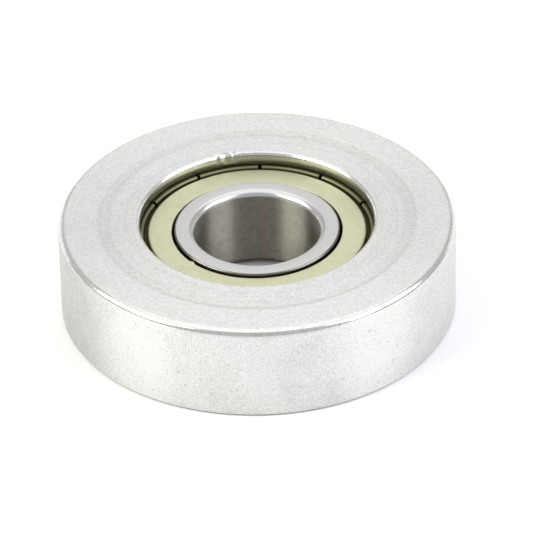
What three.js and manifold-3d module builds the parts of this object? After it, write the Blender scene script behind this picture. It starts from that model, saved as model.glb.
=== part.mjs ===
// A yoke-type cam follower: an aluminium tyre pressed over a shielded deep-groove ball bearing.
// Millimetres. +Z runs along the roller's axis, out of the lipped face of the tyre.
// The origin is the centre of the tyre's rear face.
import * as THREE from "three";
import { mergeVertices } from "three/addons/utils/BufferGeometryUtils.js";
import Module from "manifold-3d";

// Bearing: the internals of size 6202, with an inner ring bored to 5/8 inch.
const BEARING_BORE = 15.875;
const BEARING_WIDTH = 11;
const BALL_DIAMETER = 5.953;
const BALL_COUNT = 8;
const BALL_CLEARANCE = 0.05; // between a ball and the bottom of each race
const RACE_CONFORMITY = 0.52; // race radius as a share of the ball's diameter
const INNER_RACE_WALL = 1.536; // steel between the bore and the bottom of the inner race
const OUTER_RACE_WALL = 1.9735; // brings the outside to the standard 35 mm
const BORE_CHAMFER = 0.45;
const INNER_LAND_CHAMFER = 0.13;
const OUTER_RING_CHAMFER = 0.6;

// Cage: two pressed ribbons riveted together between the balls.
const CAGE_SHEET = 0.55;
const CAGE_BAND_WIDTH = 2.3; // radial
const CAGE_INNER_CLEARANCE = 0.75; // to the land of the inner ring
const CAGE_OUTER_CLEARANCE = 0.65; // to the land of the outer ring
const CAGE_POCKET_CLEARANCE = 0.13;
const CAGE_JOINT_GAP = 0.02;
const RIVET_SHANK_DIAMETER = 1;
const RIVET_HEAD_DIAMETER = 1.5;
const RIVET_HEAD_HEIGHT = 0.35;
const RIVET_CLEARANCE = 0.03;

// Shields: pressed sheet whose curled rim snaps into a groove of the outer ring.
const SHIELD_SHEET = 0.35;
const SHIELD_INSET = 0.35; // from the face of the rings down to the flat of the shield
const SHIELD_RUNNING_GAP = 0.25; // to the land of the inner ring
const SHIELD_CHANNEL_DROP = 0.6; // from the flat down to the floor of the channel
const SHIELD_CHANNEL_WIDTH = 0.65;
const SHIELD_BEND_RADIUS = 0.3;
const SHIELD_CURL_WIDTH = 0.5; // the curl's crest is level with the flat
const SHIELD_SNAP_BULGE = 0.2;
const SHIELD_SEAT_CLEARANCE = 0.03;
const SHIELD_RIM_CLEARANCE = 0.05;
const SHIELD_SLOT_COUNT = 11;
const SHIELD_SLOT_WIDTH = 0.5;
const SHIELD_SLOT_START = THREE.MathUtils.degToRad(88);
const RECESS_RADIAL_DEPTH = 0.9; // the shield's seat, outside the land of the outer ring
const RECESS_EDGE_CHAMFER = 0.1;

// Tyre
const TYRE_DIAMETER = 50.8;
const TYRE_WIDTH = 12.7;
const TYRE_FRONT_CHAMFER = 0.55;
const TYRE_REAR_CHAMFER = 0.2;
const TYRE_LIP_THICKNESS = 1.5;
const TYRE_LIP_REACH = 2.5; // radial, in over the outer ring
const TYRE_LIP_CHAMFER = 0.3;
const TYRE_LEAD_IN = 0.4;
const TYRE_SEAT_CLEARANCE = 0.02;
const TYRE_BAND_OFFSET = 3.9; // from the lip's bore out to the shallow turned band
const TYRE_BAND_WIDTH = 1.4;
const TYRE_BAND_DEPTH = 0.1;

// Facets
const RING_SEGMENTS = 48;
const RACE_STEPS = 6;
const BEND_STEPS = 2;
const CURL_STEPS = 3;
const BALL_DETAIL = 2;
const POCKET_SEGMENTS = 16;
const POCKET_BANDS = 10;
const RIVET_SEGMENTS = 8;

// Radii and heights that follow. Heights inside the bearing are from its middle plane.
const ballRadius = BALL_DIAMETER / 2;
const raceRadius = RACE_CONFORMITY * BALL_DIAMETER;
const boreRadius = BEARING_BORE / 2;
const innerRaceBottom = boreRadius + INNER_RACE_WALL;
const pitchRadius = innerRaceBottom + BALL_CLEARANCE + ballRadius;
const outerRaceBottom = pitchRadius + ballRadius + BALL_CLEARANCE;
const bearingRadius = outerRaceBottom + OUTER_RACE_WALL;
const cageInnerRadius = pitchRadius - CAGE_BAND_WIDTH / 2;
const cageOuterRadius = pitchRadius + CAGE_BAND_WIDTH / 2;
const innerLandRadius = cageInnerRadius - CAGE_INNER_CLEARANCE;
const outerLandRadius = cageOuterRadius + CAGE_OUTER_CLEARANCE;
const bearingHalfWidth = BEARING_WIDTH / 2;
const recessRadius = outerLandRadius + RECESS_RADIAL_DEPTH;
const shieldFlat = bearingHalfWidth - SHIELD_INSET;
const shieldChannel = shieldFlat - SHIELD_CHANNEL_DROP;
const shieldSeat = shieldChannel - SHIELD_SHEET - SHIELD_SEAT_CLEARANCE;
const bearingMiddle = TYRE_WIDTH - TYRE_LIP_THICKNESS - bearingHalfWidth;

const wasm = await Module();
wasm.setup();

const material = (color, roughness, metalness = 1) =>
  new THREE.MeshStandardMaterial({ color, roughness, metalness });
const turnedAluminium = material(0xe3e4df, 0.35);
const groundSteel = material(0xcbccce, 0.25);
const polishedSteel = material(0xd5d6d8, 0.08);
const pressedSteel = material(0xa9a69c, 0.4);
const zincPlate = material(0xd2d2b6, 0.4);

// A ring turned about Z from a closed outline of [radius, height] points, anticlockwise.
function turned(outline, segments = RING_SEGMENTS) {
  const points = [...outline, outline[0]].map(([r, z]) => new THREE.Vector2(r, z));
  return new THREE.LatheGeometry(points, segments).rotateX(Math.PI / 2);
}

// Points on an arc of the section, both ends included.
function arc([centreR, centreZ], radius, from, to, steps) {
  return Array.from({ length: steps + 1 }, (_, i) => {
    const angle = from + ((to - from) * i) / steps;
    return [centreR + radius * Math.cos(angle), centreZ + radius * Math.sin(angle)];
  });
}

// The mirror image of an outline in the bearing's middle plane, walked the other way.
const mirrored = (outline) => outline.map(([r, z]) => [r, -z]).reverse();

// The section of a race, from its upper edge to its lower one. Its chords stay outside the ball's
// path: side is 1 for the outer ring, whose race opens inwards, and -1 for the inner ring.
function raceSection(bottomRadius, landRadius, side) {
  const roundRing = side > 0 ? 1 / Math.cos(Math.PI / RING_SEGMENTS) : 1;
  const centre = bottomRadius * roundRing - side * raceRadius;
  const halfAngle = (radius) => Math.acos((side * (landRadius - centre)) / radius);
  const chordRadius = raceRadius / Math.cos(halfAngle(raceRadius) / RACE_STEPS);
  const half = halfAngle(chordRadius);
  const section = arc([0, 0], chordRadius, half, -half, RACE_STEPS);
  return section.map(([r, z]) => [centre + side * r, z]);
}

// A closed geometry as a solid that can be joined and cut.
function solid(geometry) {
  const bare = geometry.clone();
  bare.deleteAttribute("normal");
  bare.deleteAttribute("uv");
  const merged = mergeVertices(bare);
  return new wasm.Manifold(
    new wasm.Mesh({
      numProp: 3,
      vertProperties: merged.attributes.position.array,
      triVerts: new Uint32Array(merged.index.array),
    }),
  );
}

function geometryOf(body) {
  const { vertProperties, triVerts, numProp } = body.getMesh();
  const geometry = new THREE.BufferGeometry();
  geometry.setAttribute("position", new THREE.BufferAttribute(vertProperties, numProp));
  geometry.setIndex(new THREE.BufferAttribute(triVerts, 1));
  geometry.computeVertexNormals();
  return geometry;
}

// One geometry repeated round the axis, as a list of solids.
function around(geometry, count, radius, start = 0) {
  return Array.from({ length: count }, (_, i) => {
    const copy = geometry.clone().translate(radius, 0, 0);
    return solid(copy.rotateZ(start + (i * 2 * Math.PI) / count));
  });
}

function add(group, name, geometry, meshMaterial) {
  const mesh = new THREE.Mesh(geometry, meshMaterial);
  mesh.name = name;
  group.add(mesh);
  return mesh;
}

function tyreGeometry() {
  const outside = TYRE_DIAMETER / 2;
  const seat = bearingRadius + TYRE_SEAT_CLEARANCE;
  const seatTop = TYRE_WIDTH - TYRE_LIP_THICKNESS;
  const lip = bearingRadius - TYRE_LIP_REACH;
  const bandInner = lip + TYRE_BAND_OFFSET;
  const bandOuter = bandInner + TYRE_BAND_WIDTH;
  const bandFloor = TYRE_WIDTH - TYRE_BAND_DEPTH;
  return turned([
    [seat + TYRE_LEAD_IN, 0],
    [outside - TYRE_REAR_CHAMFER, 0],
    [outside, TYRE_REAR_CHAMFER],
    [outside, TYRE_WIDTH - TYRE_FRONT_CHAMFER],
    [outside - TYRE_FRONT_CHAMFER, TYRE_WIDTH],
    [bandOuter, TYRE_WIDTH],
    [bandOuter - TYRE_BAND_DEPTH, bandFloor],
    [bandInner + TYRE_BAND_DEPTH, bandFloor],
    [bandInner, TYRE_WIDTH],
    [lip + TYRE_LIP_CHAMFER, TYRE_WIDTH],
    [lip, TYRE_WIDTH - TYRE_LIP_CHAMFER],
    [lip, seatTop],
    [seat, seatTop],
    [seat, TYRE_LEAD_IN],
  ]);
}

function outerRingGeometry() {
  const bulge = SHIELD_SNAP_BULGE;
  const grooveTop = shieldFlat;
  const grooveBottom = shieldSeat + RECESS_EDGE_CHAMFER;
  const recess = [
    [bearingRadius, bearingHalfWidth - OUTER_RING_CHAMFER],
    [bearingRadius - OUTER_RING_CHAMFER, bearingHalfWidth],
    [recessRadius + RECESS_EDGE_CHAMFER, bearingHalfWidth],
    [recessRadius, bearingHalfWidth - RECESS_EDGE_CHAMFER],
    [recessRadius, grooveTop],
    [recessRadius + bulge, grooveTop - bulge],
    [recessRadius + bulge, grooveBottom + bulge],
    [recessRadius, grooveBottom],
    [recessRadius, shieldSeat],
    [outerLandRadius, shieldSeat],
  ];
  const race = raceSection(outerRaceBottom, outerLandRadius, 1);
  return turned([...recess, ...race, ...mirrored(recess)]);
}

function innerRingGeometry() {
  const face = [
    [innerLandRadius, bearingHalfWidth - INNER_LAND_CHAMFER],
    [innerLandRadius - INNER_LAND_CHAMFER, bearingHalfWidth],
    [boreRadius + BORE_CHAMFER, bearingHalfWidth],
    [boreRadius, bearingHalfWidth - BORE_CHAMFER],
  ];
  const race = raceSection(innerRaceBottom, innerLandRadius, -1);
  return turned([...face, ...mirrored(face), ...race.reverse()]);
}

// The upper half of the cage: a flat ribbon with a domed pocket over each ball.
function cageHalfGeometry() {
  const inner = cageInnerRadius;
  const outer = cageOuterRadius;
  const joint = CAGE_JOINT_GAP / 2;
  const cavityRadius = ballRadius + CAGE_POCKET_CLEARANCE;
  const domeRadius = cavityRadius + CAGE_SHEET;
  const band = (top) =>
    solid(turned([[inner, joint], [outer, joint], [outer, top], [inner, top]]));
  // Spheres with their poles on the radial line, so that few facets cross the band.
  const ballShape = (radius) =>
    new THREE.SphereGeometry(radius, POCKET_SEGMENTS, POCKET_BANDS).rotateZ(-Math.PI / 2);
  const chordShare = Math.cos(Math.PI / POCKET_SEGMENTS) * Math.cos(Math.PI / POCKET_BANDS / 2);
  const domes = around(ballShape(domeRadius), BALL_COUNT, pitchRadius);
  const cavities = around(ballShape(cavityRadius / chordShare), BALL_COUNT, pitchRadius);
  const holeRadius = RIVET_SHANK_DIAMETER / 2 + RIVET_CLEARANCE;
  const drill = new THREE.CylinderGeometry(
    holeRadius,
    holeRadius,
    4 * CAGE_SHEET,
    RIVET_SEGMENTS,
  ).rotateX(Math.PI / 2);
  const holes = around(drill, BALL_COUNT, pitchRadius, Math.PI / BALL_COUNT);
  let half = band(joint + CAGE_SHEET);
  domes.forEach((dome) => (half = half.add(dome)));
  half = half.intersect(band(domeRadius + CAGE_SHEET));
  [...cavities, ...holes].forEach((cut) => (half = half.subtract(cut)));
  return geometryOf(half);
}

// A rivet that stands across the cage's joint, with a domed head on each side.
function rivetGeometry() {
  const shank = RIVET_SHANK_DIAMETER / 2;
  const head = RIVET_HEAD_DIAMETER / 2;
  const grip = CAGE_JOINT_GAP / 2 + CAGE_SHEET + CAGE_JOINT_GAP / 2;
  const top = grip + RIVET_HEAD_HEIGHT;
  const upper = [
    [shank, grip],
    [head, grip],
    [head * 0.8, grip + RIVET_HEAD_HEIGHT * 0.7],
    [0, top],
  ];
  return turned([...upper, ...mirrored(upper)], RIVET_SEGMENTS);
}

// The upper shield: flat, channel, and a curled rim cut into tabs by the slots.
function shieldGeometry() {
  const rim = recessRadius - SHIELD_RIM_CLEARANCE;
  const curlRadius = SHIELD_CURL_WIDTH / 2;
  const curlCentre = [rim - curlRadius, shieldFlat - curlRadius];
  const channelOuter = rim - SHIELD_CURL_WIDTH;
  const channelInner = channelOuter - SHIELD_CHANNEL_WIDTH;
  const bend = SHIELD_BEND_RADIUS;
  const bulgeTop = shieldFlat - SHIELD_RIM_CLEARANCE;
  const bulgeBottom = shieldSeat + RECESS_EDGE_CHAMFER + SHIELD_RIM_CLEARANCE;
  const bulge = SHIELD_SNAP_BULGE;
  const edge = innerLandRadius + SHIELD_RUNNING_GAP;
  const pressing = solid(
    turned([
      [edge, shieldFlat - SHIELD_SHEET],
      [channelInner - SHIELD_SHEET, shieldFlat - SHIELD_SHEET],
      [channelInner, shieldChannel - SHIELD_SHEET],
      [rim, shieldChannel - SHIELD_SHEET],
      [rim, bulgeBottom],
      [rim + bulge, bulgeBottom + bulge],
      [rim + bulge, bulgeTop - bulge],
      ...arc(curlCentre, curlRadius, 0, Math.PI, CURL_STEPS),
      [channelOuter, shieldChannel],
      [channelInner, shieldChannel],
      ...arc([channelInner - bend, shieldFlat - bend], bend, 0, Math.PI / 2, BEND_STEPS),
      [edge, shieldFlat],
    ]),
  );
  const slotReach = SHIELD_CURL_WIDTH + 2 * bulge;
  const cutter = new THREE.BoxGeometry(slotReach, SHIELD_SLOT_WIDTH, SHIELD_CHANNEL_DROP * 2);
  cutter.translate(0, 0, shieldChannel + SHIELD_CHANNEL_DROP);
  const slotRadius = channelOuter - RECESS_EDGE_CHAMFER + slotReach / 2;
  const slots = around(cutter, SHIELD_SLOT_COUNT, slotRadius, SHIELD_SLOT_START);
  return geometryOf(slots.reduce((sheet, slot) => sheet.subtract(slot), pressing));
}

const roller = new THREE.Group();
add(roller, "tyre", tyreGeometry(), turnedAluminium);

const bearing = new THREE.Group();
bearing.position.z = bearingMiddle;
roller.add(bearing);
add(bearing, "outer_ring", outerRingGeometry(), groundSteel);
add(bearing, "inner_ring", innerRingGeometry(), groundSteel);

add(bearing, "cage_upper", cageHalfGeometry(), pressedSteel);
add(bearing, "cage_lower", cageHalfGeometry(), pressedSteel).rotation.x = Math.PI;
add(bearing, "shield_upper", shieldGeometry(), zincPlate);
add(bearing, "shield_lower", shieldGeometry(), zincPlate).rotation.x = Math.PI;

for (let i = 0; i < BALL_COUNT; i++) {
  const station = new THREE.Group();
  station.rotation.z = (i * 2 * Math.PI) / BALL_COUNT;
  bearing.add(station);
  const sphere = new THREE.IcosahedronGeometry(ballRadius, BALL_DETAIL);
  const ball = add(station, `ball_${i + 1}`, sphere, polishedSteel);
  ball.position.x = pitchRadius;
  const rivet = add(station, `cage_rivet_${i + 1}`, rivetGeometry(), pressedSteel);
  const halfway = Math.PI / BALL_COUNT;
  rivet.position.set(pitchRadius * Math.cos(halfway), pitchRadius * Math.sin(halfway), 0);
  rivet.rotation.z = halfway;
}

export default roller;
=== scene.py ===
"""A yoke-type cam follower: an aluminium tyre over a shielded ball bearing, in a white light tent.

Lengths are in millimetres here, and the mesh helpers turn them into metres. The frame is the
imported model's: +Z runs along the roller's axis and the tyre's rear face stands on z = 0.
"""

import math

import bmesh
import bpy
from mathutils import Matrix, Vector, noise


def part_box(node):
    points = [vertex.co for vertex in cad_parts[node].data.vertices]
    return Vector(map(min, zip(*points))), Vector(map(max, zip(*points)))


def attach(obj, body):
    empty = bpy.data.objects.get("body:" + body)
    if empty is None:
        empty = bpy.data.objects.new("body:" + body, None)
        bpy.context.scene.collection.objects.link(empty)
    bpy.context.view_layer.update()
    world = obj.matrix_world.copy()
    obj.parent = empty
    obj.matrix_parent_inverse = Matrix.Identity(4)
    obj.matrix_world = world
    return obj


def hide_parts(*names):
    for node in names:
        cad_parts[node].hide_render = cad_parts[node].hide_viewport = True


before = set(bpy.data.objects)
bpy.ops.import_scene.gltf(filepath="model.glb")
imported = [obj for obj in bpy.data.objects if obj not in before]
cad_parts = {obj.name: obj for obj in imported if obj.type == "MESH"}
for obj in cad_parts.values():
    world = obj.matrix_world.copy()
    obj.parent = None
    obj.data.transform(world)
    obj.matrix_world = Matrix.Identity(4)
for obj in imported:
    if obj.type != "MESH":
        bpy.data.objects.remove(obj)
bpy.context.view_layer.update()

MM = 0.001


def widest(node):
    """The radius of a CAD ring about the axis."""
    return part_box(node)[1].x / MM


def lowest(node):
    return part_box(node)[0].z / MM


def highest(node):
    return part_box(node)[1].z / MM


def middle_of(node):
    return sum(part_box(node), Vector()) / 2 / MM


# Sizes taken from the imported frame
TYRE_RADIUS = widest("tyre")
TYRE_WIDTH = highest("tyre")
BEARING_RADIUS = widest("outer_ring")
BEARING_FRONT = highest("inner_ring")
BEARING_REAR = lowest("inner_ring")
BEARING_MIDDLE = (BEARING_FRONT + BEARING_REAR) / 2
HALF_WIDTH = (BEARING_FRONT - BEARING_REAR) / 2
INNER_LAND = widest("inner_ring")
CAGE_OUTER = widest("cage_upper")
SHIELD_TOP = highest("shield_upper") - BEARING_MIDDLE
BALL_COUNT = 8
BALL_STATIONS = [middle_of(f"ball_{i + 1}") for i in range(BALL_COUNT)]
RIVET_STATIONS = [middle_of(f"cage_rivet_{i + 1}") for i in range(BALL_COUNT)]
PITCH_RADIUS = BALL_STATIONS[0].x

# Tyre: a rear seat for the bearing, closed in front by a lip. A shallow band is turned in its face.
SEAT_CLEARANCE = 0.02
FRONT_CHAMFER = 0.55
FRONT_ROUNDING = 0.85
REAR_CHAMFER = 0.2
LIP_THICKNESS = 1.5
LIP_REACH = 2.5
LIP_CHAMFER = 0.3
LEAD_IN = 0.4
LIP_BORE = BEARING_RADIUS - LIP_REACH
BAND_OFFSET = 3.9  # from the lip's bore
BAND_WIDTH = 1.4
BAND_DEPTH = 0.03
BAND_SLOPE = 0.35  # the width of its sloping outer side
BAND_INSIDE = LIP_BORE + BAND_OFFSET
BAND_OUTSIDE = BAND_INSIDE + BAND_WIDTH

# Dents in the lip's edge: degrees left of the back, width and depth
LIP_DENTS = [(19.6, 0.35, 0.12), (15.3, 0.4, 0.22), (13.4, 0.3, 0.16), (10.5, 0.4, 0.20)]

# Bearing
BORE_RADIUS = 15.875 / 2
BORE_CORNER = 0.95
REAR_BORE_CORNER = 1.35
CORNER_POLISH = 0.42  # the front corner is polished where it faces up more than this
LAND_CORNER = 0.25
OUTER_RING_CHAMFER = 0.6
BALL_RADIUS = 5.953 / 2
BALL_CLEARANCE = 0.05
RACE_CONFORMITY = 0.52  # race radius as a share of the ball's diameter
RACE_RADIUS = RACE_CONFORMITY * 2 * BALL_RADIUS
INNER_RACE_WALL = 1.536
INNER_RACE_BOTTOM = BORE_RADIUS + INNER_RACE_WALL
OUTER_RACE_BOTTOM = PITCH_RADIUS + BALL_RADIUS + BALL_CLEARANCE

# Cage
CAGE_BAND = 2.3
CAGE_SHEET = 0.55
CAGE_JOINT_GAP = 0.02
CAGE_OUTER_CLEARANCE = 0.65
POCKET_CLEARANCE = 0.13
CAGE_INNER = CAGE_OUTER - CAGE_BAND
OUTER_LAND = CAGE_OUTER + CAGE_OUTER_CLEARANCE
RIVET_SHANK = 0.5
RIVET_HEAD = 0.75
RIVET_HEAD_HEIGHT = 0.35
RIVET_HEAD_EDGE = 0.04
RIVET_CLEARANCE = 0.03

# Shields: a flat plate, a channel round it and a curled rim that snaps into the outer ring
RECESS_DEPTH = 0.9
RECESS_CHAMFER = 0.1
RECESS_RADIUS = OUTER_LAND + RECESS_DEPTH
SHIELD_SHEET = 0.35
SHIELD_RUNNING_GAP = 0.32
SHIELD_EDGE = INNER_LAND + SHIELD_RUNNING_GAP
CHANNEL_DROP = 0.6
CHANNEL_WIDTH = 0.5
CURL_WIDTH = 0.65
SNAP_BULGE = 0.2
SEAT_GAP = 0.03
RIM_GAP = 0.05
RIM = RECESS_RADIUS - RIM_GAP
CURL_EDGE = RIM - CURL_WIDTH
CHANNEL_EDGE = CURL_EDGE - CHANNEL_WIDTH
CHANNEL_FLOOR = SHIELD_TOP - CHANNEL_DROP
SHIELD_SEAT = CHANNEL_FLOOR - SHIELD_SHEET
SLOT_COUNT = 11
SLOT_WIDTH = 0.5
SLOT_OVERCUT = 0.1
SLOT_START = math.radians(88)

# A burr on the front shield's inner edge, at the front left
BURR_ANGLE = math.radians(-139)
BURR_SPAN = 0.8
BURR_WIDTH = 0.28
BURR_REACH = 0.16
BURR_HEIGHT = 0.10
BURR_ROOT = 0.12

# Steps round the axis
SEGMENTS = 720
SHIELD_SEGMENTS = 40 * SLOT_COUNT
HIDDEN_SEGMENTS = 384


# ---------------------------------------------------------------- mesh helpers


def arc(centre, radius, start, end, steps):
    """Points of a section on an arc, both ends included."""
    points = []
    for i in range(steps + 1):
        angle = start + (end - start) * i / steps
        points.append((centre[0] + radius * math.cos(angle), centre[1] + radius * math.sin(angle)))
    return points


def rounded(corners, steps=4):
    """A closed outline from (radius, height, fillet) corners, each rounded by its fillet."""
    outline = []
    for k, (r, z, fillet) in enumerate(corners):
        here = Vector((r, z))
        if fillet == 0:
            outline.append((r, z))
            continue
        to_last = (Vector(corners[k - 1][:2]) - here).normalized()
        to_next = (Vector(corners[(k + 1) % len(corners)][:2]) - here).normalized()
        half = to_last.angle(to_next) / 2
        centre = here + (to_last + to_next).normalized() * fillet / math.sin(half)
        first = here + to_last * fillet / math.tan(half) - centre
        last = here + to_next * fillet / math.tan(half) - centre
        start = math.atan2(first.y, first.x)
        turn = math.atan2(last.y, last.x) - start
        turn = (turn + math.pi) % (2 * math.pi) - math.pi
        outline += arc(centre, fillet, start, start + turn, steps)
    return outline


def flipped(outline):
    """The mirror image in the bearing's middle plane, walked the other way."""
    return [(r, -z) for r, z in reversed(outline)]


def lifted(outline):
    """From heights over the bearing's middle plane to heights in the frame."""
    return [(r, z + BEARING_MIDDLE) for r, z in outline]


def turned(outline, segments=SEGMENTS, zone=None):
    """A ring turned about Z from an anticlockwise outline. zone(r, z, nr, nz) picks a material."""
    work = bmesh.new()
    rows = []
    for i in range(segments):
        angle = 2 * math.pi * i / segments
        c, s = math.cos(angle) * MM, math.sin(angle) * MM
        rows.append([work.verts.new((r * c, r * s, z * MM)) for r, z in outline])
    count = len(outline)
    for j in range(count):
        k = (j + 1) % count
        (r0, z0), (r1, z1) = outline[j], outline[k]
        length = math.hypot(r1 - r0, z1 - z0)
        index = 0
        if zone:
            index = zone((r0 + r1) / 2, (z0 + z1) / 2, (z1 - z0) / length, (r0 - r1) / length)
        for i in range(segments):
            here, there = rows[i], rows[(i + 1) % segments]
            face = work.faces.new((here[j], there[j], there[k], here[k]))
            face.material_index = index
    return work


def piece(name, work, materials, sharp=40):
    """An object from a bmesh, smooth shaded except over edges sharper than the given angle."""
    mesh = bpy.data.meshes.new(name)
    work.to_mesh(mesh)
    work.free()
    return shown(name, mesh, materials, sharp)


def shown(name, mesh, materials, sharp=40):
    """An object from a finished mesh."""
    mesh.polygons.foreach_set("use_smooth", [True] * len(mesh.polygons))
    mesh.set_sharp_from_angle(angle=math.radians(sharp))
    for material in materials:
        mesh.materials.append(material)
    made = bpy.data.objects.new(name, mesh)
    bpy.context.scene.collection.objects.link(made)
    normals = made.modifiers.new("even_normals", "WEIGHTED_NORMAL")
    normals.keep_sharp = True
    return made


def cut(work, cutters):
    """The mesh of a solid with the cutters, one bmesh of separate solids, taken away."""
    blank, tool = bpy.data.meshes.new("blank"), bpy.data.meshes.new("tool")
    work.to_mesh(blank)
    cutters.to_mesh(tool)
    work.free()
    cutters.free()
    stock = bpy.data.objects.new("stock", blank)
    knife = bpy.data.objects.new("knife", tool)
    for o in (stock, knife):
        bpy.context.scene.collection.objects.link(o)
    boolean = stock.modifiers.new("cut", "BOOLEAN")
    boolean.operation = "DIFFERENCE"
    boolean.solver = "EXACT"
    boolean.object = knife
    depsgraph = bpy.context.evaluated_depsgraph_get()
    mesh = bpy.data.meshes.new_from_object(stock.evaluated_get(depsgraph))
    for o in (stock, knife):
        bpy.data.objects.remove(o)
    return mesh


def rear_copy(mesh, name):
    """The same part turned over onto the bearing's rear side."""
    copy = mesh.copy()
    copy.name = name
    middle = Matrix.Translation((0, 0, BEARING_MIDDLE * MM))
    copy.transform(middle @ Matrix.Rotation(math.pi, 4, "X") @ middle.inverted())
    return copy


def stands_for(made, node, body):
    """Shows the object in place of a CAD node, riding its body."""
    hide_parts(node)
    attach(made, body)


# ---------------------------------------------------------------- material helpers


class Graph:
    """The nodes of one material. Positions inside it are in millimetres of the object's frame."""

    def __init__(self, name):
        self.material = bpy.data.materials.new(name)
        self.material.use_nodes = True
        self.tree = self.material.node_tree
        self.shader = self.tree.nodes["Principled BSDF"]
        scaled = self.node("ShaderNodeVectorMath", operation="SCALE")
        self.feed(scaled.inputs[0], self.node("ShaderNodeTexCoord").outputs["Object"])
        scaled.inputs["Scale"].default_value = 1 / MM
        self.place = scaled.outputs[0]
        split = self.node("ShaderNodeSeparateXYZ")
        self.feed(split.inputs[0], self.place)
        self.x, self.y, self.z = split.outputs
        length = self.node("ShaderNodeVectorMath", operation="LENGTH")
        self.feed(length.inputs[0], self.join(self.x, self.y, 0))
        self.radius = length.outputs["Value"]
        self.east = self.math("DIVIDE", self.x, self.radius)
        self.north = self.math("DIVIDE", self.y, self.radius)

    def node(self, kind, **settings):
        made = self.tree.nodes.new(kind)
        for key, value in settings.items():
            setattr(made, key, value)
        return made

    def feed(self, socket, value):
        if isinstance(value, bpy.types.NodeSocket):
            self.tree.links.new(value, socket)
        else:
            socket.default_value = value

    def math(self, operation, a, b=0.0, clamp=False):
        made = self.node("ShaderNodeMath", operation=operation, use_clamp=clamp)
        self.feed(made.inputs[0], a)
        self.feed(made.inputs[1], b)
        return made.outputs[0]

    def join(self, x, y, z):
        made = self.node("ShaderNodeCombineXYZ")
        for socket, value in zip(made.inputs, (x, y, z)):
            self.feed(socket, value)
        return made.outputs[0]

    def around(self, along, across, third=0.0):
        """A place for patterns that run round the axis: along is cycles of stretch round it, and
        across is how often they change per millimetre of radius."""
        east = self.math("MULTIPLY", self.east, along)
        north = self.math("MULTIPLY", self.north, along)
        level = self.math("ADD", self.math("MULTIPLY", self.radius, across), third)
        return self.join(east, north, level)

    def noise(self, place, scale=1.0, detail=2.0, roughness=0.5):
        made = self.node("ShaderNodeTexNoise")
        self.feed(made.inputs["Vector"], place)
        made.inputs["Scale"].default_value = scale
        made.inputs["Detail"].default_value = detail
        made.inputs["Roughness"].default_value = roughness
        return made.outputs["Fac"]

    def ramp(self, value, low, high, to_low=0.0, to_high=1.0):
        """value between low and high, as a share between to_low and to_high."""
        made = self.node("ShaderNodeMapRange", interpolation_type="SMOOTHSTEP")
        for socket, given in zip(made.inputs, (value, low, high, to_low, to_high)):
            self.feed(socket, given)
        return made.outputs[0]

    def between(self, value, low, high, soft):
        """1 where value lies between low and high, with soft edges."""
        rise = self.ramp(value, low - soft, low + soft)
        fall = self.ramp(value, high - soft, high + soft, 1.0, 0.0)
        return self.math("MULTIPLY", rise, fall)

    def tint(self, share, a, b):
        """Colour a, turning into colour b as the share rises to 1."""
        made = self.node("ShaderNodeMix", data_type="RGBA")
        self.feed(made.inputs[0], share)
        self.feed(made.inputs[6], colour(a) if isinstance(a, tuple) else a)
        self.feed(made.inputs[7], colour(b) if isinstance(b, tuple) else b)
        return made.outputs[2]

    def bump(self, height, depth):
        """A bump whose height of 1 stands depth millimetres proud."""
        made = self.node("ShaderNodeBump")
        made.inputs["Distance"].default_value = depth * MM
        self.feed(made.inputs["Height"], height)
        return made.outputs[0]

    def finish(self, base, roughness, normal=None, metallic=1.0, anisotropic=0.0):
        """Sets up the shader. An anisotropic one stretches highlights along the roller's axis."""
        shader = self.shader.inputs
        self.feed(shader["Base Color"], colour(base) if isinstance(base, tuple) else base)
        self.feed(shader["Roughness"], roughness)
        shader["Metallic"].default_value = metallic
        if normal:
            self.feed(shader["Normal"], normal)
        if anisotropic:
            shader["Anisotropic"].default_value = anisotropic
            shader["Anisotropic Rotation"].default_value = 0.25
            tangent = self.node("ShaderNodeTangent", direction_type="RADIAL", axis="Z")
            self.feed(shader["Tangent"], tangent.outputs[0])
        return self.material


def colour(rgb):
    return (*rgb, 1.0)


# ---------------------------------------------------------------- materials

ALUMINIUM = (0.728, 0.733, 0.706)
ALUMINIUM_SKIN = (0.795, 0.798, 0.775)
ALUMINIUM_DULL = (0.500, 0.504, 0.480)
ALUMINIUM_SPECK = (0.30, 0.29, 0.27)
STEEL = (0.552, 0.554, 0.538)
STEEL_DARK = (0.448, 0.448, 0.426)
ZINC = (0.584, 0.584, 0.418)
ZINC_DULL = (0.478, 0.471, 0.320)


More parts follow.
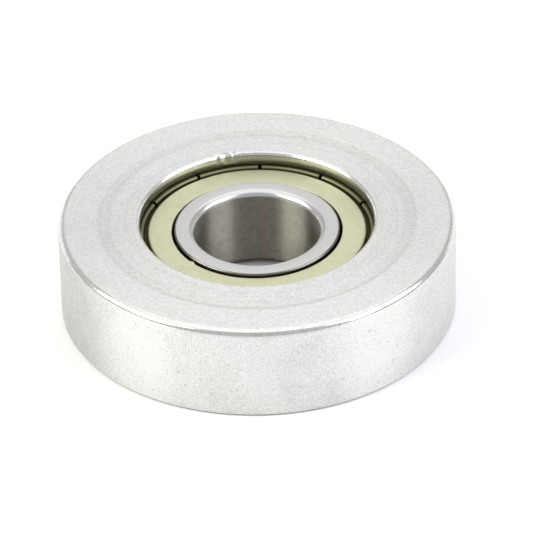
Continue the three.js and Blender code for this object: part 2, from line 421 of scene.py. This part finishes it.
def face_aluminium():
    """The tyre's turned faces: fine tool lines round the axis, a duller band and small pits."""
    g = Graph("aluminium_turned_face")
    lines = g.noise(g.around(1.3, 5.0), detail=5.0, roughness=0.72)
    fine = g.noise(g.around(7.0, 14.0), detail=3.0, roughness=0.7)
    clouds = g.noise(g.place, scale=0.16, detail=3.0, roughness=0.55)
    grain = g.noise(g.place, scale=3.2, detail=3.0, roughness=0.7)
    lipped = g.ramp(g.z, 0.4 * TYRE_WIDTH, 0.6 * TYRE_WIDTH)
    band = g.math("MULTIPLY", lipped, g.between(g.radius, BAND_INSIDE, BAND_OUTSIDE, 0.5))
    rim = g.between(g.radius, BAND_OUTSIDE - 0.25, BAND_OUTSIDE + 0.1, 0.25)
    rim = g.math("MULTIPLY", lipped, rim)
    inner = g.ramp(g.radius, BAND_INSIDE, BAND_INSIDE + 0.6, 1.0, 0.25)
    passes = g.noise(g.around(0.9, 1.7, 3.0), detail=2.0, roughness=0.6)
    dull = g.math("ADD", g.ramp(lines, 0.35, 0.7, 0.0, 0.22), g.ramp(passes, 0.38, 0.66, 0.0, 0.12))
    dull = g.math("MULTIPLY", dull, inner)
    dull = g.math("ADD", dull, g.ramp(clouds, 0.4, 0.75, 0.0, 0.08))
    dull = g.math("ADD", dull, g.ramp(grain, 0.38, 0.66, 0.0, 0.50))
    dull = g.math("ADD", dull, g.math("MULTIPLY", band, 0.20))
    dull = g.math("ADD", dull, g.math("MULTIPLY", rim, 0.26), clamp=True)
    base = g.tint(dull, ALUMINIUM, ALUMINIUM_DULL)
    pits = g.ramp(g.noise(g.place, scale=1.9, detail=2.0, roughness=0.8), 0.74, 0.8)
    base = g.tint(g.math("MULTIPLY", pits, 0.35), base, ALUMINIUM_SPECK)
    roughness = g.ramp(g.math("ADD", clouds, g.math("MULTIPLY", band, 0.2)), 0.3, 0.9, 0.30, 0.42)
    height = g.math("ADD", g.math("MULTIPLY", lines, inner), g.math("MULTIPLY", fine, 0.35))
    height = g.math("ADD", height, g.math("MULTIPLY", grain, 0.5))
    return g.finish(base, roughness, g.bump(height, 0.010), anisotropic=0.45)


def side_aluminium():
    """The tyre's outside: a peened skin with an upright grain and small dark pits.

    It is coloured darker at the far left and near the rear as painted shade, and lighter on the two
    flanks as a painted highlight.
    """
    g = Graph("aluminium_peened_side")
    upright = g.join(g.x, g.y, g.math("MULTIPLY", g.z, 0.8))
    skin = g.noise(upright, scale=5.2, detail=2.0, roughness=0.6)
    clouds = g.noise(g.place, scale=0.22, detail=3.0, roughness=0.6)
    pits = g.ramp(g.noise(g.place, scale=2.0, detail=2.0, roughness=0.8), 0.66, 0.72)
    dull = g.math("ADD", g.ramp(skin, 0.36, 0.66, 0.0, 0.50), g.ramp(clouds, 0.4, 0.8, 0.0, 0.2))
    flank = g.math("ABSOLUTE", g.east)
    # Painted shade: the far left of the side is coloured darker.
    dull = g.math("ADD", dull, g.ramp(g.east, -0.94, -0.68, 0.50, 0.04))
    # Painted highlight: the two flanks are coloured lighter.
    dull = g.math("SUBTRACT", dull, g.math("MULTIPLY", g.between(flank, 0.45, 0.72, 0.1), 0.28))
    # Painted shade: darker towards the rear face, by the floor.
    dull = g.math("ADD", dull, g.ramp(g.z, 0.0, 5.0, 0.10, 0.0), clamp=True)
    base = g.tint(dull, ALUMINIUM_SKIN, ALUMINIUM_DULL)
    base = g.tint(g.math("MULTIPLY", pits, 0.7), base, ALUMINIUM_SPECK)
    roughness = g.ramp(clouds, 0.3, 0.8, 0.40, 0.46)
    height = g.math("SUBTRACT", skin, g.math("MULTIPLY", pits, 0.8))
    return g.finish(base, roughness, g.bump(height, 0.012), anisotropic=0.6)


def cut_aluminium():
    """The chamfers, left bright by the tool."""
    g = Graph("aluminium_bright_cut")
    lines = g.noise(g.join(g.east, g.north, g.math("MULTIPLY", g.z, 6.0)), detail=3.0, roughness=0.7)
    chatter = g.noise(g.place, scale=1.6, detail=3.0, roughness=0.7)
    dull = g.math("ADD", g.ramp(lines, 0.4, 0.75, 0.0, 0.3), g.ramp(chatter, 0.45, 0.65, 0.0, 0.4))
    base = g.tint(dull, (0.77, 0.775, 0.765), ALUMINIUM_DULL)
    roughness = g.ramp(chatter, 0.35, 0.65, 0.11, 0.20)
    height = g.math("ADD", lines, chatter)
    return g.finish(base, roughness, g.bump(height, 0.004))


def bored_aluminium():
    """The lip's bore and the bearing's seat, bored dull and coloured darker than the faces."""
    g = Graph("aluminium_bored")
    lines = g.noise(g.join(g.east, g.north, g.math("MULTIPLY", g.z, 5.0)), detail=3.0, roughness=0.7)
    base = g.tint(g.ramp(lines, 0.35, 0.75), (0.56, 0.56, 0.52), (0.42, 0.42, 0.38))
    roughness = g.ramp(lines, 0.3, 0.7, 0.26, 0.34)
    return g.finish(base, roughness, g.bump(lines, 0.004))


def ground_steel():
    """The rings' ground faces, with a fine matt grain."""
    g = Graph("steel_ground")
    grain = g.noise(g.place, scale=5.5, detail=3.0, roughness=0.75)
    lines = g.noise(g.around(2.0, 9.0), detail=3.0, roughness=0.7)
    dull = g.math("ADD", g.ramp(grain, 0.4, 0.8, 0.0, 0.5), g.ramp(lines, 0.45, 0.8, 0.0, 0.25))
    base = g.tint(dull, STEEL, STEEL_DARK)
    roughness = g.ramp(grain, 0.3, 0.8, 0.26, 0.36)
    return g.finish(base, roughness, g.bump(grain, 0.006), anisotropic=0.2)


def honed_steel():
    """The bore, its rear corner and half of the front one, honed so that light stretches upright."""
    g = Graph("steel_honed_bore")
    scratches = g.noise(
        g.join(g.math("MULTIPLY", g.east, 9.0), g.math("MULTIPLY", g.north, 9.0), g.z),
        detail=4.0,
        roughness=0.7,
    )
    stain = g.noise(g.place, scale=0.5, detail=2.0)
    base = g.tint(g.ramp(scratches, 0.4, 0.75), (0.360, 0.350, 0.305), (0.290, 0.275, 0.235))
    base = g.tint(g.ramp(stain, 0.5, 0.8, 0.0, 0.4), base, (0.24, 0.19, 0.14))
    streak = g.math("MULTIPLY", g.between(g.east, 0.075, 0.105, 0.025), g.ramp(g.north, 0.0, 0.5))
    base = g.tint(g.math("MULTIPLY", streak, 0.6), base, (0.50, 0.29, 0.21))
    roughness = g.ramp(scratches, 0.3, 0.7, 0.42, 0.46)
    return g.finish(base, roughness, g.bump(scratches, 0.001), anisotropic=1.0)


def race_steel():
    """The races, the outer ring's lands and the bright half of the bore's front corner, polished."""
    g = Graph("steel_polished_race")
    lines = g.noise(g.join(g.east, g.north, g.math("MULTIPLY", g.z, 8.0)), detail=3.0)
    base = g.tint(lines, (0.62, 0.62, 0.63), STEEL)
    return g.finish(base, g.ramp(lines, 0.3, 0.7, 0.20, 0.26), g.bump(lines, 0.001))


def shaded_land_steel():
    """The inner ring's lands, coloured dark as painted shade for the gap beside the shield."""
    g = Graph("steel_land_painted_shade")
    land_mottle = g.noise(g.place, scale=0.9, detail=2.0)
    # Painted shade: the lands take a near-black colour.
    base = g.tint(land_mottle, (0.25, 0.245, 0.225), (0.17, 0.165, 0.145))
    return g.finish(base, g.ramp(land_mottle, 0.3, 0.7, 0.18, 0.26), g.bump(land_mottle, 0.001))


def recess_shade_steel():
    """The recesses behind the shields, coloured dark brown as painted shade."""
    g = Graph("steel_recess_painted_shade")
    recess_mottle = g.noise(g.place, scale=0.9, detail=4.0, roughness=0.6)
    # Painted shade: the recesses take a dark brown colour.
    base = g.tint(recess_mottle, (0.18, 0.165, 0.10), (0.26, 0.24, 0.15))
    return g.finish(base, g.ramp(recess_mottle, 0.3, 0.7, 0.35, 0.5), g.bump(recess_mottle, 0.02))


def zinc_plate():
    """The shields: pressed steel under a pale yellow zinc finish, with painted shade on the curled
    rim and in the channel.
    """
    g = Graph("zinc_passivated")
    clouds = g.noise(g.place, scale=0.55, detail=4.0, roughness=0.6)
    grain = g.noise(g.place, scale=6.0, detail=2.0, roughness=0.7)
    rolled = g.noise(g.around(3.0, 3.0), detail=2.0)
    dull = g.math("ADD", g.ramp(clouds, 0.45, 0.8, 0.0, 0.45), g.ramp(grain, 0.45, 0.8, 0.0, 0.3))
    dull = g.math("ADD", dull, g.ramp(rolled, 0.4, 0.8, 0.0, 0.15))
    base = g.tint(dull, ZINC, ZINC_DULL)
    # Painted shade: the curled rim, under the lip, is coloured dark brownish grey.
    curl_shade = g.ramp(g.radius, CURL_EDGE - 0.15, CURL_EDGE)
    base = g.tint(curl_shade, base, g.tint(clouds, (0.22, 0.21, 0.125), (0.15, 0.14, 0.075)))
    # Painted shade: the channel round the plate is coloured near black, deepest towards its floor.
    above = g.math("ABSOLUTE", g.math("SUBTRACT", g.z, BEARING_MIDDLE))
    low = g.ramp(above, SHIELD_TOP - 0.45, SHIELD_TOP - 0.24, 1.0, 0.0)
    channel_shade = g.math("MULTIPLY", low, g.ramp(g.radius, CHANNEL_EDGE - 0.3, CHANNEL_EDGE))
    base = g.tint(channel_shade, base, (0.040, 0.037, 0.016))
    roughness = g.ramp(clouds, 0.3, 0.8, 0.46, 0.56)
    return g.finish(base, roughness, g.bump(grain, 0.008))


def cage_steel():
    g = Graph("steel_pressed_cage")
    clouds = g.noise(g.place, scale=0.8, detail=4.0, roughness=0.65)
    grain = g.noise(g.place, scale=7.0, detail=2.0)
    base = g.tint(g.ramp(clouds, 0.35, 0.75), (0.42, 0.40, 0.36), (0.30, 0.285, 0.26))
    return g.finish(base, g.ramp(grain, 0.3, 0.7, 0.32, 0.45), g.bump(grain, 0.01))


def ball_steel():
    g = Graph("steel_lapped_ball")
    haze = g.noise(g.place, scale=2.5, detail=4.0, roughness=0.6)
    base = g.tint(haze, (0.66, 0.66, 0.67), (0.60, 0.60, 0.615))
    return g.finish(base, g.ramp(haze, 0.3, 0.8, 0.05, 0.09))


# ---------------------------------------------------------------- the tyre


def tyre_outline():
    """The section from the rear seat's edge round the outside to the lip and back down the seat.

    Two points on the face beside the lip's chamfer keep it flat where the dents move the chamfer.
    """
    seat = BEARING_RADIUS + SEAT_CLEARANCE
    seat_top = TYRE_WIDTH - LIP_THICKNESS
    band_floor = TYRE_WIDTH - BAND_DEPTH
    return rounded(
        [
            (seat + LEAD_IN, 0, 0.06),
            (TYRE_RADIUS - REAR_CHAMFER, 0, 0.04),
            (TYRE_RADIUS, REAR_CHAMFER, 0.06),
            (TYRE_RADIUS, TYRE_WIDTH - FRONT_CHAMFER, FRONT_ROUNDING),
            (TYRE_RADIUS - FRONT_CHAMFER, TYRE_WIDTH, FRONT_ROUNDING),
            (BAND_OUTSIDE, TYRE_WIDTH, 2.0),
            (BAND_OUTSIDE - BAND_SLOPE, band_floor, 2.0),
            (BAND_OUTSIDE - 2 * BAND_SLOPE, band_floor, 3.0),
            (BAND_INSIDE, TYRE_WIDTH, 3.0),
            (LIP_BORE + 2.6 * LIP_CHAMFER, TYRE_WIDTH, 0),
            (LIP_BORE + 2.0 * LIP_CHAMFER, TYRE_WIDTH, 0),
            (LIP_BORE + LIP_CHAMFER, TYRE_WIDTH, 0.30),
            (LIP_BORE, TYRE_WIDTH - LIP_CHAMFER, 0.20),
            (LIP_BORE, seat_top, 0.05),
            (seat, seat_top, 0.03),
            (seat, LEAD_IN, 0.06),
        ]
    )


def tyre_zone(r, z, nr, nz):
    """0 for the faces, 1 for the outside, 2 for bright chamfers and 3 for the bores."""
    if abs(nz) > 0.9:
        return 0
    if nr < -0.9:
        return 3
    if nr > 0.9 and r > TYRE_RADIUS - REAR_CHAMFER:
        return 1
    return 2


def nick_lip(work):
    """Small dents in the lip's edge where the press tool slipped, left of the back."""
    for v in work.verts:
        r = v.co.xy.length / MM
        angle = math.atan2(v.co.y, v.co.x)
        if v.co.z < (TYRE_WIDTH - 2 * LIP_CHAMFER) * MM:
            continue
        if not LIP_BORE - 0.01 < r < LIP_BORE + 1.6 * LIP_CHAMFER:
            continue
        for degrees, width, depth in LIP_DENTS:
            away = (angle - math.radians(90 + degrees)) * r
            bell = math.exp(-((away / width) ** 2))
            v.co.xy *= 1 + depth * bell / r
            v.co.z -= 0.4 * depth * bell * MM


def waver_chamfer(work):
    """The front chamfer's lower edge wanders a little, as a hand-held deburring tool leaves it."""
    for v in work.verts:
        r = v.co.xy.length / MM
        below = TYRE_WIDTH - v.co.z / MM
        if r < TYRE_RADIUS - 0.1 or not 0.4 < below < 0.75:
            continue
        east, north = v.co.x / MM / r, v.co.y / MM / r
        slow = noise.noise(Vector((east * 4.0, north * 4.0, 0.0)))
        quick = noise.noise(Vector((east * 22.0, north * 22.0, 5.0)))
        v.co.z += (0.10 * slow + 0.02 * quick) * MM


def make_tyre():
    work = turned(tyre_outline(), zone=tyre_zone)
    nick_lip(work)
    waver_chamfer(work)
    metals = [face_aluminium(), side_aluminium(), cut_aluminium(), bored_aluminium()]
    made = piece("roller_tyre", work, metals)
    stands_for(made, "tyre", "roller")


# ---------------------------------------------------------------- the rings


def race(bottom, land, side, steps=24):
    """A race from its upper edge to its lower one. side is 1 where it opens inwards, else -1."""
    centre = bottom - side * RACE_RADIUS
    half = math.acos(side * (land - centre) / RACE_RADIUS)
    section = arc((0, 0), RACE_RADIUS, half, -half, steps)
    return [(centre + side * r, z) for r, z in section]


def inner_zone(r, z, nr, nz):
    """0 for the faces, 1 for the bore, 2 for its front corner and the race, 3 for the lands in
    painted shade.
    """
    if abs(nz) > 0.97:
        return 0
    if r > INNER_LAND - LAND_CORNER:
        return 3
    return 1 if r < BORE_RADIUS + REAR_BORE_CORNER and nz < CORNER_POLISH else 2


def outer_zone(r, z, nr, nz):
    """0 for the ground faces and outside, 1 for the race and lands, 2 for the recesses in painted
    shade.
    """
    if r > RECESS_RADIUS + SNAP_BULGE + 0.01:
        return 0
    return 2 if r > OUTER_LAND + 0.05 else 1


def ring_end(corner):
    """One end of the inner ring, from its land over the ground face into the bore."""
    return rounded(
        [
            (INNER_LAND, 0, 0),
            (INNER_LAND, HALF_WIDTH, LAND_CORNER),
            (BORE_RADIUS, HALF_WIDTH, corner),
            (BORE_RADIUS, 0, 0),
        ],
        steps=9,
    )[1:-1]


def make_inner_ring():
    front = ring_end(BORE_CORNER)
    rear = flipped(ring_end(REAR_BORE_CORNER))
    inner_race = race(INNER_RACE_BOTTOM, INNER_LAND, -1)
    outline = front + rear + inner_race[::-1]
    work = turned(lifted(outline), zone=inner_zone)
    steels = [ground_steel(), honed_steel(), race_steel(), shaded_land_steel()]
    made = piece("bearing_inner_ring", work, steels)
    stands_for(made, "inner_ring", "mount_ring")


def recess_outline():
    """One end of the outer ring, from its outside over the groove for the shield to its land."""
    seat = SHIELD_SEAT - SEAT_GAP
    bottom = seat + RECESS_CHAMFER
    return rounded(
        [
            (BEARING_RADIUS, 0, 0),
            (BEARING_RADIUS, HALF_WIDTH - OUTER_RING_CHAMFER, 0.3),
            (BEARING_RADIUS - OUTER_RING_CHAMFER, HALF_WIDTH, 0.3),
            (RECESS_RADIUS + RECESS_CHAMFER, HALF_WIDTH, 0.04),
            (RECESS_RADIUS, HALF_WIDTH - RECESS_CHAMFER, 0.04),
            (RECESS_RADIUS, SHIELD_TOP, 0.04),
            (RECESS_RADIUS + SNAP_BULGE, SHIELD_TOP - SNAP_BULGE, 0.04),
            (RECESS_RADIUS + SNAP_BULGE, bottom + SNAP_BULGE, 0.04),
            (RECESS_RADIUS, bottom, 0.03),
            (RECESS_RADIUS, seat, 0.02),
            (OUTER_LAND, seat, 0.04),
            (OUTER_LAND, 0, 0),
        ]
    )[1:-1]


def make_outer_ring():
    recess = recess_outline()
    outline = recess + race(OUTER_RACE_BOTTOM, OUTER_LAND, 1) + flipped(recess)
    work = turned(lifted(outline), segments=HIDDEN_SEGMENTS, zone=outer_zone)
    made = piece("bearing_outer_ring", work, [ground_steel(), race_steel(), recess_shade_steel()])
    stands_for(made, "outer_ring", "roller")


# ---------------------------------------------------------------- the shields


def shield_outline():
    """The section from the inner edge under the plate, round the curled rim and back over it.

    The point on top beside the inner edge keeps the plate flat where the burr moves that edge.
    """
    underside = SHIELD_TOP - SHIELD_SHEET
    curl = 0.98 * CURL_WIDTH / 2
    bulge_top = SHIELD_TOP - RIM_GAP
    bulge_bottom = SHIELD_SEAT - SEAT_GAP + RECESS_CHAMFER + RIM_GAP
    return rounded(
        [
            (SHIELD_EDGE, underside, 0.05),
            (CHANNEL_EDGE - SHIELD_SHEET, underside, 0.1),
            (CHANNEL_EDGE, SHIELD_SEAT, 0.2),
            (RIM, SHIELD_SEAT, 0.04),
            (RIM, bulge_bottom, 0.03),
            (RIM + SNAP_BULGE, bulge_bottom + SNAP_BULGE, 0.04),
            (RIM + SNAP_BULGE, bulge_top - SNAP_BULGE, 0.04),
            (RIM, bulge_top, 0.02),
            (RIM, SHIELD_TOP, curl),
            (CURL_EDGE, SHIELD_TOP, curl),
            (CURL_EDGE, CHANNEL_FLOOR, 0.12),
            (CHANNEL_EDGE, CHANNEL_FLOOR, 0.12),
            (CHANNEL_EDGE, SHIELD_TOP, 0.3),
            (SHIELD_EDGE + 0.25, SHIELD_TOP, 0),
            (SHIELD_EDGE, SHIELD_TOP, 0.08),
        ],
        steps=6,
    )


def slot_cutters():
    """Boxes that cut the curled rim into tabs."""
    reach = CURL_WIDTH + 2 * SNAP_BULGE
    middle = CURL_EDGE - SLOT_OVERCUT + reach / 2
    cutters = bmesh.new()
    for i in range(SLOT_COUNT):
        turn = Matrix.Rotation(SLOT_START + i * 2 * math.pi / SLOT_COUNT, 4, "Z")
        size = Matrix.Diagonal((reach, SLOT_WIDTH, 2 * CHANNEL_DROP, 1))
        place = Matrix.Translation((middle, 0, BEARING_MIDDLE + SHIELD_TOP))
        scale = Matrix.Scale(MM, 4)
        bmesh.ops.create_cube(cutters, size=1, matrix=scale @ turn @ place @ size)
    return cutters


def shield_blank():
    return turned(lifted(shield_outline()), segments=SHIELD_SEGMENTS)


def raise_burr(work):
    """A burr that the press left on the front shield's inner edge."""
    for v in work.verts:
        r = v.co.xy.length / MM
        away = (math.atan2(v.co.y, v.co.x) - BURR_ANGLE) * r
        if abs(away) < BURR_SPAN and r < SHIELD_EDGE + BURR_ROOT:
            bell = math.exp(-((away / BURR_WIDTH) ** 2))
            v.co.xy *= 1 - BURR_REACH * bell / r
            v.co.z += BURR_HEIGHT * bell * MM


def make_shields():
    plate = [zinc_plate()]
    work = shield_blank()
    raise_burr(work)
    front = cut(work, slot_cutters())
    rear = cut(shield_blank(), slot_cutters())
    made = shown("shield_front", front, plate)
    stands_for(made, "shield_upper", "roller")
    made = shown("shield_rear", rear_copy(rear, "shield_rear"), plate)
    stands_for(made, "shield_lower", "roller")


# ---------------------------------------------------------------- cage, rivets and balls


def cage_heights(r, angle):
    """The under and upper side of the pressed ribbon above the middle plane, at one place."""
    joint = CAGE_JOINT_GAP / 2
    cavity = BALL_RADIUS + POCKET_CLEARANCE
    dome = cavity + CAGE_SHEET
    step = 2 * math.pi / BALL_COUNT
    off = (angle + step / 2) % step - step / 2
    away = math.hypot(r * math.cos(off) - PITCH_RADIUS, r * math.sin(off))
    under = math.sqrt(max(cavity**2 - away**2, 0))
    upper = math.sqrt(max(dome**2 - away**2, 0))
    return max(under, joint), max(upper, joint + CAGE_SHEET)


def cage_half():
    """The upper half of the cage: a flat ribbon with a domed pocket over each ball."""
    rows = 14
    columns = 960
    work = bmesh.new()
    grids = ([], [])
    for i in range(columns):
        angle = 2 * math.pi * i / columns
        lines = ([], [])
        for j in range(rows + 1):
            r = CAGE_INNER + CAGE_BAND * j / rows
            heights = cage_heights(r, angle)
            for line, z in zip(lines, heights):
                place = (r * math.cos(angle) * MM, r * math.sin(angle) * MM, z * MM)
                line.append(work.verts.new(place))
        grids[0].append(lines[0])
        grids[1].append(lines[1])
    under, upper = grids
    for i in range(columns):
        k = (i + 1) % columns
        for j in range(rows):
            work.faces.new((upper[i][j], upper[i][j + 1], upper[k][j + 1], upper[k][j]))
            work.faces.new((under[i][j], under[k][j], under[k][j + 1], under[i][j + 1]))
        work.faces.new((under[i][0], upper[i][0], upper[k][0], under[k][0]))
        work.faces.new((under[i][-1], under[k][-1], upper[k][-1], upper[i][-1]))
    return work


def rivet_drills():
    """Cylinders that drill the cage's webs for the rivets."""
    drills = bmesh.new()
    for station in RIVET_STATIONS:
        place = Matrix.Translation((station.x * MM, station.y * MM, 0))
        bmesh.ops.create_cone(
            drills,
            cap_ends=True,
            segments=24,
            radius1=(RIVET_SHANK + RIVET_CLEARANCE) * MM,
            radius2=(RIVET_SHANK + RIVET_CLEARANCE) * MM,
            depth=4 * CAGE_SHEET * MM,
            matrix=place,
        )
    return drills


def rivet_outline():
    """The upper half of a rivet's section, and the height of its tip."""
    grip = CAGE_JOINT_GAP + CAGE_SHEET
    crown = RIVET_HEAD_HEIGHT - RIVET_HEAD_EDGE
    top = [(RIVET_SHANK, grip), (RIVET_HEAD, grip)]
    dome = [
        (RIVET_HEAD * math.cos(a), grip + RIVET_HEAD_EDGE + crown * math.sin(a))
        for a in (math.pi / 2 * i / 8 for i in range(8))
    ]
    return top + dome, grip + RIVET_HEAD_HEIGHT


def rivet_mesh(station):
    """A rivet through the cage's joint, with a domed head on each side."""
    half, top = rivet_outline()
    outline = [(r, -z) for r, z in reversed(half)] + half
    work = bmesh.new()
    sides = 32
    rings = []
    for r, z in outline:
        ring = []
        for i in range(sides):
            a = 2 * math.pi * i / sides
            place = Vector((r * math.cos(a), r * math.sin(a), z)) + station
            ring.append(work.verts.new(place * MM))
        rings.append(ring)
    for low, high in zip(rings, rings[1:]):
        for i in range(sides):
            k = (i + 1) % sides
            work.faces.new((low[i], low[k], high[k], high[i]))
    for ring, z in ((rings[0], -top), (rings[-1], top)):
        tip = work.verts.new((station + Vector((0, 0, z))) * MM)
        for i in range(sides):
            k = (i + 1) % sides
            work.faces.new((tip, ring[k], ring[i]) if z < 0 else (tip, ring[i], ring[k]))
    return work


def make_cage():
    steel = [cage_steel()]
    half = cut(cage_half(), rivet_drills())
    half.transform(Matrix.Translation((0, 0, BEARING_MIDDLE * MM)))
    lower = rear_copy(half, "cage_half_lower")
    made = shown("cage_half_upper", half, steel)
    stands_for(made, "cage_upper", "cage")
    made = shown("cage_half_lower", lower, steel)
    stands_for(made, "cage_lower", "cage")
    for i, station in enumerate(RIVET_STATIONS):
        made = piece(f"rivet_{i + 1}", rivet_mesh(station), steel)
        stands_for(made, f"cage_rivet_{i + 1}", "cage")


def make_balls():
    """Balls from cubes whose grid is eased out evenly over the sphere."""
    steel = [ball_steel()]
    for i, station in enumerate(BALL_STATIONS):
        work = bmesh.new()
        bmesh.ops.create_cube(work, size=2)
        bmesh.ops.subdivide_edges(work, edges=work.edges[:], cuts=31, use_grid_fill=True)
        for v in work.verts:
            eased = Vector([math.tan(c * math.pi / 4) for c in v.co])
            v.co = (eased.normalized() * BALL_RADIUS + station) * MM
        made = piece(f"steel_ball_{i + 1}", work, steel, sharp=60)
        stands_for(made, f"ball_{i + 1}", f"ball_{i + 1}_body")


# ---------------------------------------------------------------- stage, light and camera


FLOOR_SIZE = 4
FLOOR_GAP = 0.05


def make_floor():
    g = Graph("white_floor")
    g.finish((0.795, 0.793, 0.808), 0.9, metallic=0.0)
    work = bmesh.new()
    bmesh.ops.create_grid(work, x_segments=8, y_segments=8, size=FLOOR_SIZE)
    floor = piece("floor", work, [g.material])
    floor.location.z = -FLOOR_GAP * MM


def make_softbox(name, azimuth, elevation, distance, size, radiance, tint=(1, 1, 1)):
    """A rectangular light aimed at the roller. Azimuth 0 is over the camera, 90 to its right.

    The angles are in degrees, the distance and the size in metres.
    """
    light = bpy.data.lights.new(name, "AREA")
    light.shape = "RECTANGLE"
    light.size, light.size_y = size
    light.energy = radiance * math.pi * size[0] * size[1]
    light.color = tint
    a, e = math.radians(azimuth), math.radians(elevation)
    away = Vector((math.sin(a) * math.cos(e), -math.cos(a) * math.cos(e), math.sin(e)))
    lamp = bpy.data.objects.new(name, light)
    lamp.location = away * distance
    lamp.rotation_mode = "QUATERNION"
    lamp.rotation_quaternion = away.to_track_quat("Z", "Y")
    bpy.context.scene.collection.objects.link(lamp)


def make_light():
    world = bpy.data.worlds.new("tent")
    world.use_nodes = True
    background = world.node_tree.nodes["Background"]
    background.inputs["Color"].default_value = (1.0, 1.0, 1.0, 1.0)
    background.inputs["Strength"].default_value = 0.62
    bpy.context.scene.world = world
    make_softbox("softbox_left", -76, 39, 1.0, (0.76, 0.58), 5.3, (1.0, 1.0, 0.92))
    make_softbox("softbox_right", 76, 39, 1.0, (0.76, 0.58), 4.6, (0.94, 0.94, 1.0))
    make_softbox("softbox_back_left", -138, 9, 1.1, (0.6, 0.34), 0.45)
    make_softbox("softbox_back_low", 180, 9, 1.1, (0.85, 0.34), 0.38)
    make_softbox("softbox_back_right", 138, 9, 1.1, (0.6, 0.34), 0.45, (0.97, 0.97, 1.0))
    make_softbox("softbox_back", 178, 38, 1.2, (0.50, 0.8), 0.50, (0.97, 0.97, 1.0))
    make_softbox("softbox_top", 180, 79, 1.0, (1.0, 1.3), 0.8)


# The camera's axis passes the origin at AIM, to its right and above it, in millimetres
CAMERA_ELEVATION = math.radians(34.636)
CAMERA_ROLL = math.radians(1.25)
CAMERA_DISTANCE = 591.023
CAMERA_LENS = 309.12
AIM = (1.0057, 4.1759)


def make_camera():
    level = Vector((1, 0, 0))
    lean = Vector((0, math.sin(CAMERA_ELEVATION), math.cos(CAMERA_ELEVATION)))
    forward = Vector((0, math.cos(CAMERA_ELEVATION), -math.sin(CAMERA_ELEVATION)))
    right = level * math.cos(CAMERA_ROLL) - lean * math.sin(CAMERA_ROLL)
    up = level * math.sin(CAMERA_ROLL) + lean * math.cos(CAMERA_ROLL)
    place = right * AIM[0] + up * AIM[1] - forward * CAMERA_DISTANCE
    data = bpy.data.cameras.new("camera")
    data.lens = CAMERA_LENS
    data.sensor_width = 36
    camera = bpy.data.objects.new("camera", data)
    axes = Matrix((right, up, -forward)).transposed().to_4x4()
    camera.matrix_world = Matrix.Translation(place * MM) @ axes
    bpy.context.scene.collection.objects.link(camera)
    bpy.context.scene.camera = camera


make_tyre()
make_outer_ring()
make_inner_ring()
make_shields()
make_cage()
make_balls()
make_floor()
make_light()
make_camera()
bpy.context.scene.view_settings.view_transform = "Standard"
